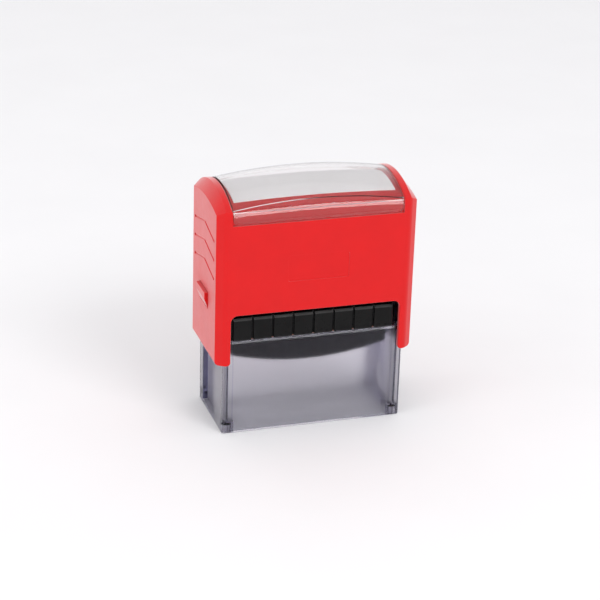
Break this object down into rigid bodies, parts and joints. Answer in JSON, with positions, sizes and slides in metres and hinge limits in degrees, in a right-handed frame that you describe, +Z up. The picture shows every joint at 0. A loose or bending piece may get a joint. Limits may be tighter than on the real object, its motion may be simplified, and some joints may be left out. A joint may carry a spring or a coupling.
{
  "type": "self inking stamp",
  "caption": "Self inking stamp: sprung cap with clear index window over a clear base frame, a flip-over platen and a slide-out ink cartridge.",
  "frame": {"origin": "on the table, at the middle of the base", "axes": "+Z up, +X along the length, -Y is the front"},
  "size_m": [0.0756, 0.0356, 0.0928],
  "materials": {
    "clear_frame": "smoke tinted clear plastic",
    "clear_cover": "clear polished plastic",
    "foot": "soft grey rubber",
    "black_plastic": "moulded black plastic",
    "black_yoke": "moulded black plastic",
    "black_platen": "moulded black plastic",
    "black_cartridge": "moulded black plastic, satin gloss",
    "spring_steel": "bright drawn wire",
    "pin_steel": "turned steel",
    "red_cap": "satin moulded red plastic",
    "red_button": "satin moulded red plastic",
    "foam": "fine closed-cell foam",
    "die_rubber": "laser cut stamp rubber",
    "ink_felt": "felt soaked in dark ink",
    "card": "white card"
  },
  "bodies": {
    "frame": {"base_frame": "clear_frame", "foot_front_left": "foot", "foot_front_right": "foot", "foot_back_left": "foot", "foot_back_right": "foot", "spring_bridge": "black_plastic", "return_spring": "spring_steel"},
    "cap": {"upper_housing": "red_cap", "yoke": "black_yoke"},
    "platen": {"platen": "black_platen", "pivot_pin_left": "pin_steel", "pivot_pin_right": "pin_steel", "cushion_foam": "foam", "rubber_die": "die_rubber"},
    "cartridge": {"ink_cartridge": "black_cartridge", "ink_pad": "ink_felt"},
    "cover": {"clear_cover": "clear_cover", "index_card": "card"},
    "lock_left": {"lock_button_left": "red_button"},
    "lock_right": {"lock_button_right": "red_button"}
  },
  "joints": [
    {"name": "cap_press", "type": "slide", "parent": "frame", "child": "cap", "axis": [0, 0, -1], "range_m": [0, 0.025], "stiffness_N_per_m": 500, "springref_m": -0.01, "deforming": ["return_spring"]},
    {"name": "platen_flip", "type": "hinge", "parent": "cap", "child": "platen", "pos_m": [0, 0, 0.03015], "axis": [1, 0, 0], "range_deg": [0, 180]},
    {"name": "cartridge_slide", "type": "slide", "parent": "frame", "child": "cartridge", "axis": [0, -1, 0], "range_m": [0, 0.036]},
    {"name": "cover_lift", "type": "slide", "parent": "cap", "child": "cover", "axis": [0, 0, 1], "range_m": [0, 0.015]},
    {"name": "lock_left_push", "type": "slide", "parent": "cap", "child": "lock_left", "axis": [1, 0, 0], "range_m": [0, 0.0008], "stiffness_N_per_m": 1500, "springref_m": -0.001},
    {"name": "lock_right_push", "type": "slide", "parent": "cap", "child": "lock_right", "axis": [-1, 0, 0], "range_m": [0, 0.0008], "stiffness_N_per_m": 1500, "springref_m": -0.001}
  ],
  "couplings": [
    {"joint": "platen_flip", "follows": "cap_press", "rad_per_m": 125.66}
  ]
}
